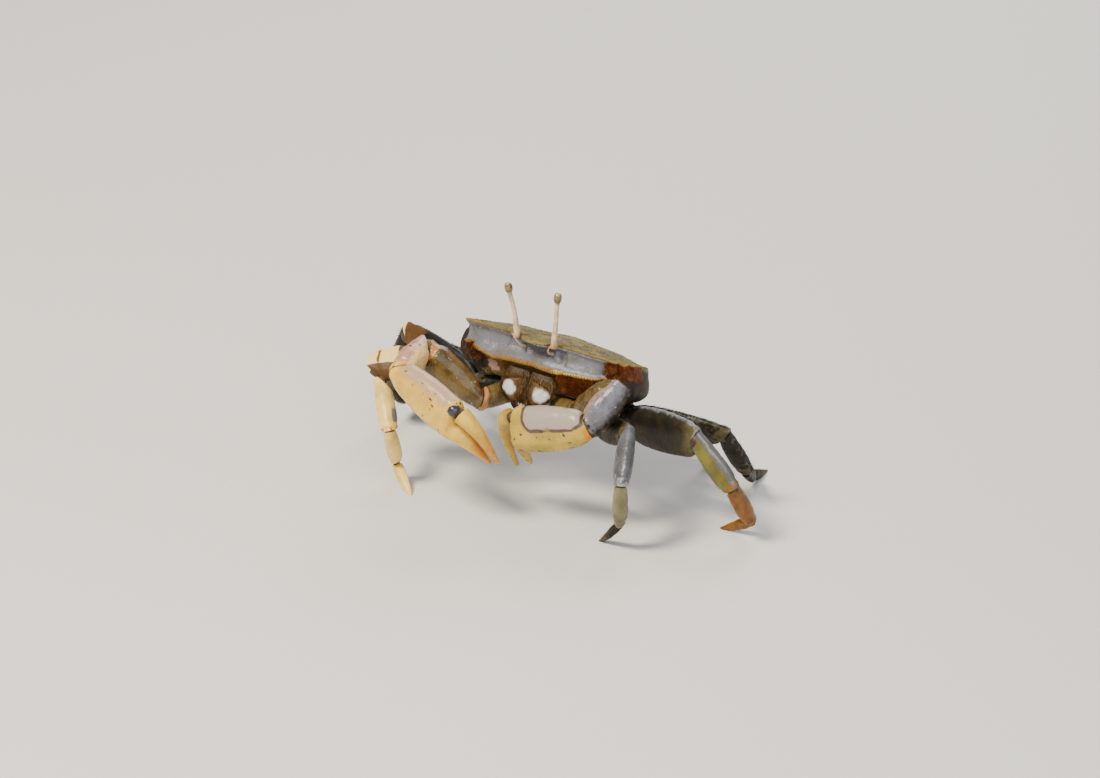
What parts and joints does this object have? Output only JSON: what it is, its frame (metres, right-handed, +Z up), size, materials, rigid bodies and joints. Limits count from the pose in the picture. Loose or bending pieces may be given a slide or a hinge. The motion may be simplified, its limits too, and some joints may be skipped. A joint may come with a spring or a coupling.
{
  "type": "japanese sentinel crab model",
  "caption": "Life-size still model of a male Japanese sentinel crab, standing on its walking legs with long eyestalks up and both claws folded in front.",
  "frame": {"origin": "on the floor, under the middle of the model's bounding box", "axes": "+X to the crab's left, +Y to its rear, +Z up from the floor it stands on"},
  "size_m": [0.0868, 0.0651, 0.0409],
  "materials": {
    "shell": "satin",
    "belly": "satin",
    "mouth": "satin",
    "stalk": "satin",
    "eye": "gloss",
    "claw_upper": "satin",
    "claw_wrist": "satin",
    "claw_hand": "satin",
    "claw_finger": "satin",
    "leg_dark": "satin",
    "leg_mud": "satin",
    "leg_yellow": "satin",
    "leg_toe": "satin"
  },
  "bodies": {
    "root": {"carapace": "shell", "sternum": "belly", "abdomen": "belly", "maxilliped_l": "mouth", "maxilliped_r": "mouth", "eyestalk_l": "stalk", "cornea_l": "eye", "eyestalk_r": "stalk", "cornea_r": "eye", "claw_l_ischium": "claw_upper", "claw_l_merus": "claw_upper", "claw_l_carpus": "claw_wrist", "claw_l_palm": "claw_hand", "claw_l_dactylus": "claw_finger", "leg2l_coxa": "leg_dark", "leg2l_merus": "leg_dark", "leg2l_carpus": "leg_mud", "leg2l_propodus": "leg_yellow", "leg2l_dactylus": "leg_dark", "leg3l_coxa": "leg_dark", "leg3l_merus": "leg_dark", "leg3l_carpus": "leg_yellow", "leg3l_propodus": "leg_toe", "leg3l_dactylus": "leg_toe", "leg4l_coxa": "leg_dark", "leg4l_merus": "leg_dark", "leg4l_carpus": "leg_dark", "leg4l_propodus": "leg_dark", "leg4l_dactylus": "leg_dark", "leg5l_coxa": "leg_dark", "leg5l_merus": "leg_dark", "leg5l_carpus": "leg_dark", "leg5l_propodus": "leg_dark", "leg5l_dactylus": "leg_dark", "claw_r_ischium": "claw_upper", "claw_r_merus": "claw_upper", "claw_r_carpus": "claw_wrist", "claw_r_palm": "claw_hand", "claw_r_dactylus": "claw_finger", "leg2r_coxa": "leg_dark", "leg2r_merus": "leg_dark", "leg2r_carpus": "leg_yellow", "leg2r_propodus": "leg_yellow", "leg2r_dactylus": "leg_yellow", "leg3r_coxa": "leg_dark", "leg3r_merus": "leg_dark", "leg3r_carpus": "leg_dark", "leg3r_propodus": "leg_dark", "leg3r_dactylus": "leg_dark", "leg4r_coxa": "leg_dark", "leg4r_merus": "leg_dark", "leg4r_carpus": "leg_dark", "leg4r_propodus": "leg_dark", "leg4r_dactylus": "leg_dark", "leg5r_coxa": "leg_dark", "leg5r_merus": "leg_dark", "leg5r_carpus": "leg_dark", "leg5r_propodus": "leg_dark", "leg5r_dactylus": "leg_dark"}
  },
  "joints": []
}
